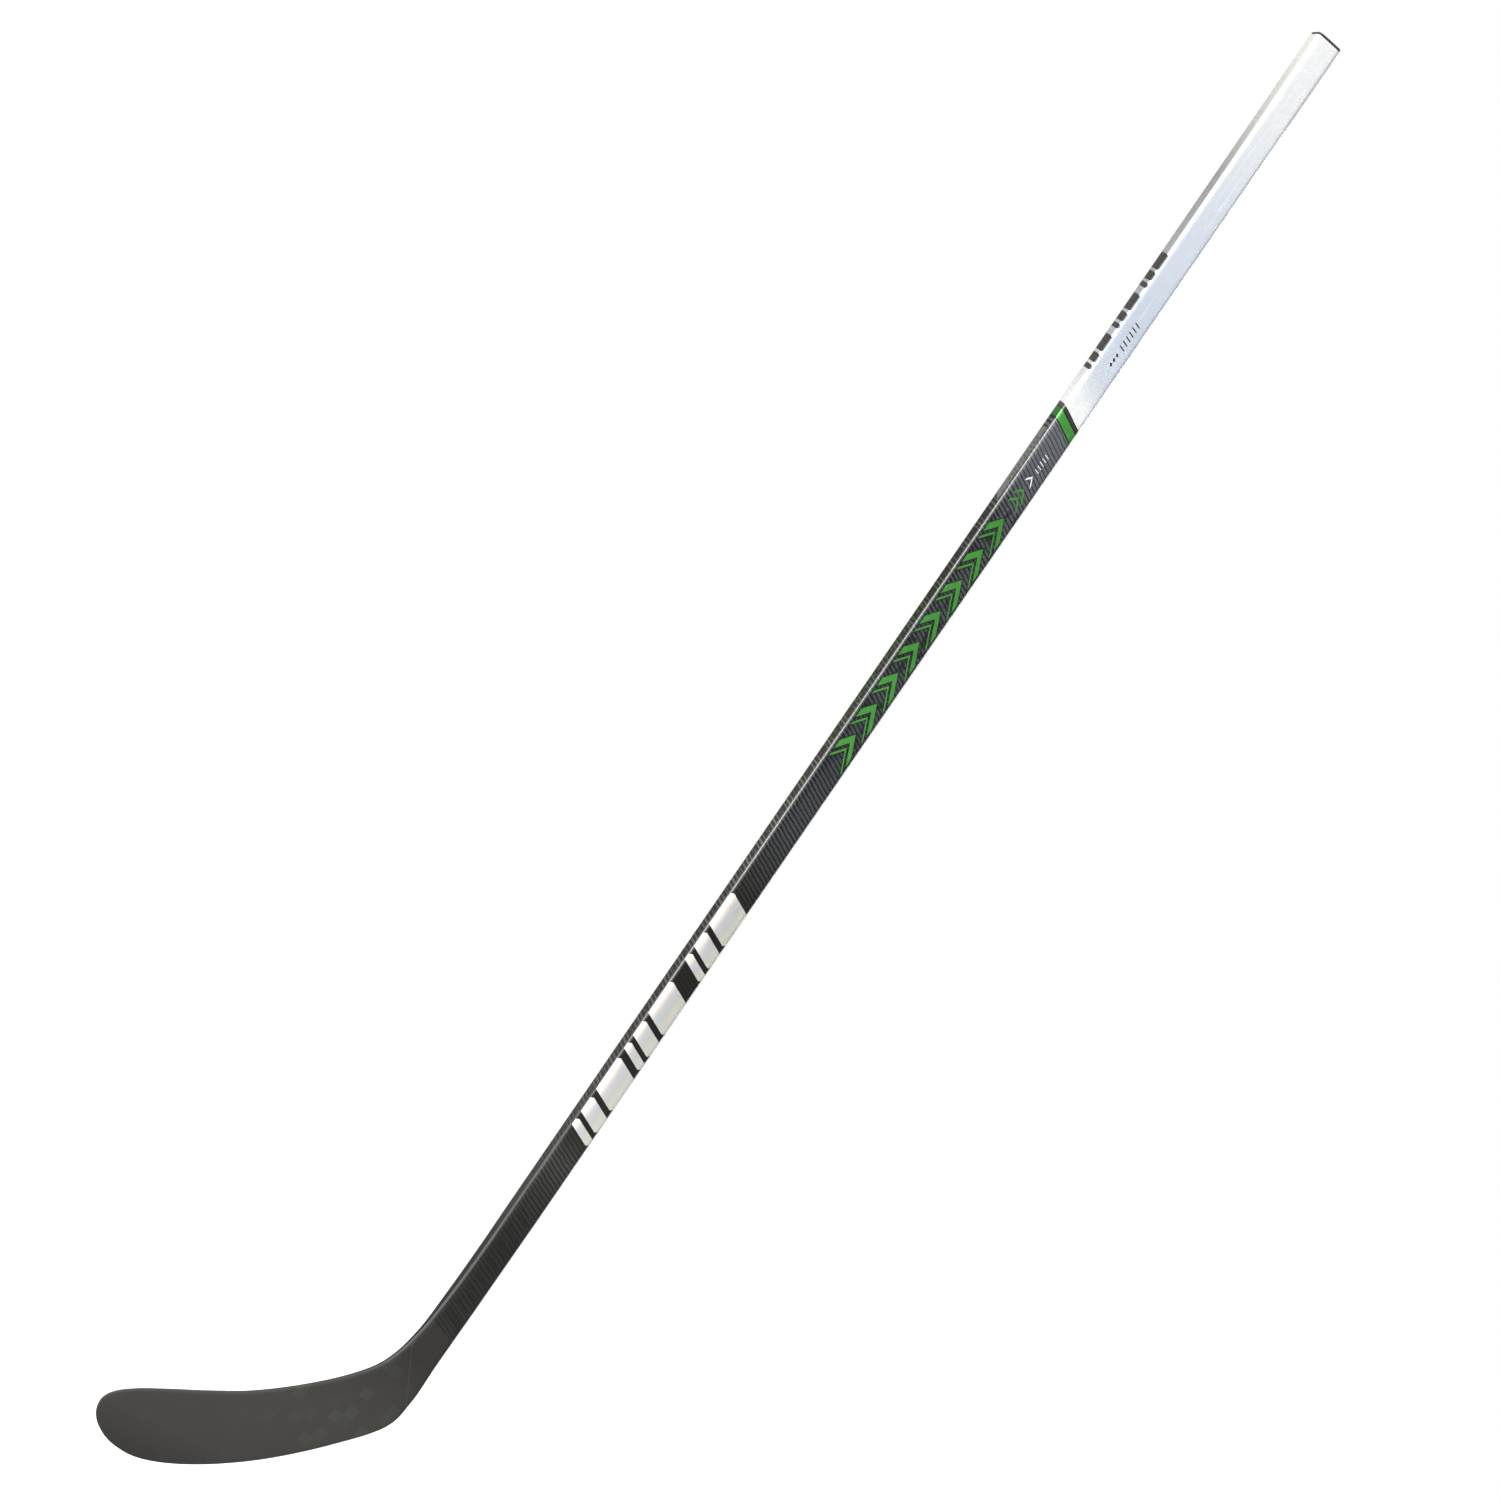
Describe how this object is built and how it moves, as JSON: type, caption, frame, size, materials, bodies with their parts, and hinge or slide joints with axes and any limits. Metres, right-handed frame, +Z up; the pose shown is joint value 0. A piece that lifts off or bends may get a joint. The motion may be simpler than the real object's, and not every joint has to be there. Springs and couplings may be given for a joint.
{
  "type": "ice hockey stick",
  "caption": "Composite ice hockey stick: hollow rounded-rectangular shaft, pull-out butt cap, tapered hosel and a curved foam-cored blade.",
  "frame": {"origin": "middle of the butt cap's top face, where a stick's length is measured from", "axes": "+Z up the shaft towards the butt, -X from the shaft towards the toe of the blade, -Y out of the forehand face"},
  "size_m": [0.2576, 0.0386, 1.6538],
  "materials": {
    "cap_plastic": "moulded satin plastic",
    "shaft_lacquer": "clear lacquer over printed carbon laminate",
    "raw_carbon": "matt spread-tow carbon laminate",
    "carbon_tow": "cured carbon tow",
    "core_foam": "closed-cell structural foam"
  },
  "bodies": {
    "stick": {"shaft_tube": "shaft_lacquer", "shaft_foam_plug": "core_foam", "hosel_tenon": "carbon_tow", "hosel_shell": "raw_carbon", "heel_block": "core_foam", "blade_forehand_skin": "raw_carbon", "blade_backhand_skin": "raw_carbon", "blade_edge_rail": "carbon_tow", "blade_upper_core": "core_foam", "blade_lower_core": "core_foam", "blade_centre_rib": "carbon_tow"},
    "butt_cap": {"butt_cap": "cap_plastic"}
  },
  "joints": [
    {"name": "butt_cap_pull", "type": "slide", "parent": "stick", "child": "butt_cap", "axis": [0, 0, 1], "range_m": [0, 0.045]}
  ]
}
